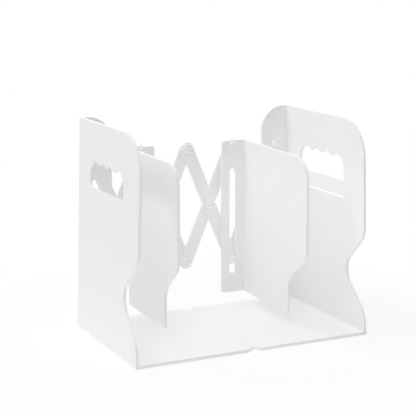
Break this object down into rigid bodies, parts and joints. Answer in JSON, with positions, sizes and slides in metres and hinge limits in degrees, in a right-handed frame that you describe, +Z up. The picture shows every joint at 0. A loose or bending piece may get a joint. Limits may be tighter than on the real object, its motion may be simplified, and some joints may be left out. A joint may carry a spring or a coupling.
{
  "type": "expandable bookend",
  "caption": "Expandable plastic bookend: two end plates with hand holes on flat bases, two dividers, and a scissor linkage behind that spreads them.",
  "frame": {"origin": "on the desk, under the middle of the closed bookend's bounding box", "axes": "+X along the row of books to the right, +Y away from the reader towards the scissor linkage, +Z up"},
  "size_m": [0.2446, 0.1632, 0.21],
  "materials": {
    "mouldings": "glossy white injection moulding",
    "bars": "satin white moulding",
    "rivets": "glossy white moulding",
    "caps": "glossy white moulding"
  },
  "bodies": {
    "left_end": {"left_end": "mouldings", "rivet_left_end_top": "rivets", "cap_left_end_top": "caps"},
    "bar_falling_1": {"bar_falling_1": "bars", "rivet_cross_1": "rivets", "cap_cross_1": "caps", "rivet_left_divider_low": "rivets", "cap_left_divider_low": "caps"},
    "bar_rising_1": {"bar_rising_1": "bars", "rivet_left_end_low": "rivets", "cap_left_end_low": "caps"},
    "left_divider": {"left_divider": "mouldings", "rivet_left_divider_top": "rivets", "cap_left_divider_top": "caps"},
    "bar_falling_2": {"bar_falling_2": "bars", "rivet_cross_2": "rivets", "cap_cross_2": "caps", "rivet_middle_low": "rivets", "cap_middle_low": "caps"},
    "bar_rising_2": {"bar_rising_2": "bars", "rivet_middle_top": "rivets", "cap_middle_top": "caps"},
    "bar_falling_3": {"bar_falling_3": "bars", "rivet_cross_3": "rivets", "cap_cross_3": "caps", "rivet_right_divider_low": "rivets", "cap_right_divider_low": "caps"},
    "bar_rising_3": {"bar_rising_3": "bars"},
    "right_divider": {"right_divider": "mouldings", "rivet_right_divider_top": "rivets", "cap_right_divider_top": "caps"},
    "bar_falling_4": {"bar_falling_4": "bars", "rivet_cross_4": "rivets", "cap_cross_4": "caps", "rivet_right_end_low": "rivets", "cap_right_end_low": "caps"},
    "bar_rising_4": {"bar_rising_4": "bars"},
    "right_end": {"right_end": "mouldings", "rivet_right_end_top": "rivets", "cap_right_end_top": "caps"}
  },
  "joints": [
    {"name": "scissor_open", "type": "hinge", "parent": "left_end", "child": "bar_falling_1", "pos_m": [-0.101, 0.0694, 0.171], "axis": [0, -1, 0], "range_deg": [0, 54.9]},
    {"name": "cross_1_turn", "type": "hinge", "parent": "bar_falling_1", "child": "bar_rising_1", "pos_m": [-0.07575, 0.0694, 0.1111], "axis": [0, -1, 0], "range_deg": [-109.8, 0]},
    {"name": "left_divider_turn", "type": "hinge", "parent": "bar_rising_1", "child": "left_divider", "pos_m": [-0.0505, 0.0694, 0.171], "axis": [0, -1, 0], "range_deg": [0, 54.9]},
    {"name": "bar_falling_2_turn", "type": "hinge", "parent": "left_divider", "child": "bar_falling_2", "pos_m": [-0.0505, 0.0694, 0.171], "axis": [0, -1, 0], "range_deg": [0, 54.9]},
    {"name": "cross_2_turn", "type": "hinge", "parent": "bar_falling_2", "child": "bar_rising_2", "pos_m": [-0.02525, 0.0694, 0.1111], "axis": [0, -1, 0], "range_deg": [-109.8, 0]},
    {"name": "middle_turn", "type": "hinge", "parent": "bar_rising_2", "child": "bar_falling_3", "pos_m": [0, 0.0694, 0.171], "axis": [0, -1, 0], "range_deg": [0, 109.8]},
    {"name": "cross_3_turn", "type": "hinge", "parent": "bar_falling_3", "child": "bar_rising_3", "pos_m": [0.02525, 0.0694, 0.1111], "axis": [0, -1, 0], "range_deg": [-109.8, 0]},
    {"name": "right_divider_turn", "type": "hinge", "parent": "bar_rising_3", "child": "right_divider", "pos_m": [0.0505, 0.0694, 0.171], "axis": [0, -1, 0], "range_deg": [0, 54.9]},
    {"name": "bar_falling_4_turn", "type": "hinge", "parent": "right_divider", "child": "bar_falling_4", "pos_m": [0.0505, 0.0694, 0.171], "axis": [0, -1, 0], "range_deg": [0, 54.9]},
    {"name": "cross_4_turn", "type": "hinge", "parent": "bar_falling_4", "child": "bar_rising_4", "pos_m": [0.07575, 0.0694, 0.1111], "axis": [0, -1, 0], "range_deg": [-109.8, 0]},
    {"name": "right_end_turn", "type": "hinge", "parent": "bar_rising_4", "child": "right_end", "pos_m": [0.101, 0.0694, 0.171], "axis": [0, -1, 0], "range_deg": [0, 54.9]}
  ],
  "couplings": [
    {"joint": "cross_1_turn", "follows": "scissor_open", "ratio": -2},
    {"joint": "left_divider_turn", "follows": "scissor_open", "ratio": 1},
    {"joint": "bar_falling_2_turn", "follows": "scissor_open", "ratio": 1},
    {"joint": "cross_2_turn", "follows": "scissor_open", "ratio": -2},
    {"joint": "middle_turn", "follows": "scissor_open", "ratio": 2},
    {"joint": "cross_3_turn", "follows": "scissor_open", "ratio": -2},
    {"joint": "right_divider_turn", "follows": "scissor_open", "ratio": 1},
    {"joint": "bar_falling_4_turn", "follows": "scissor_open", "ratio": 1},
    {"joint": "cross_4_turn", "follows": "scissor_open", "ratio": -2},
    {"joint": "right_end_turn", "follows": "scissor_open", "ratio": 1}
  ]
}
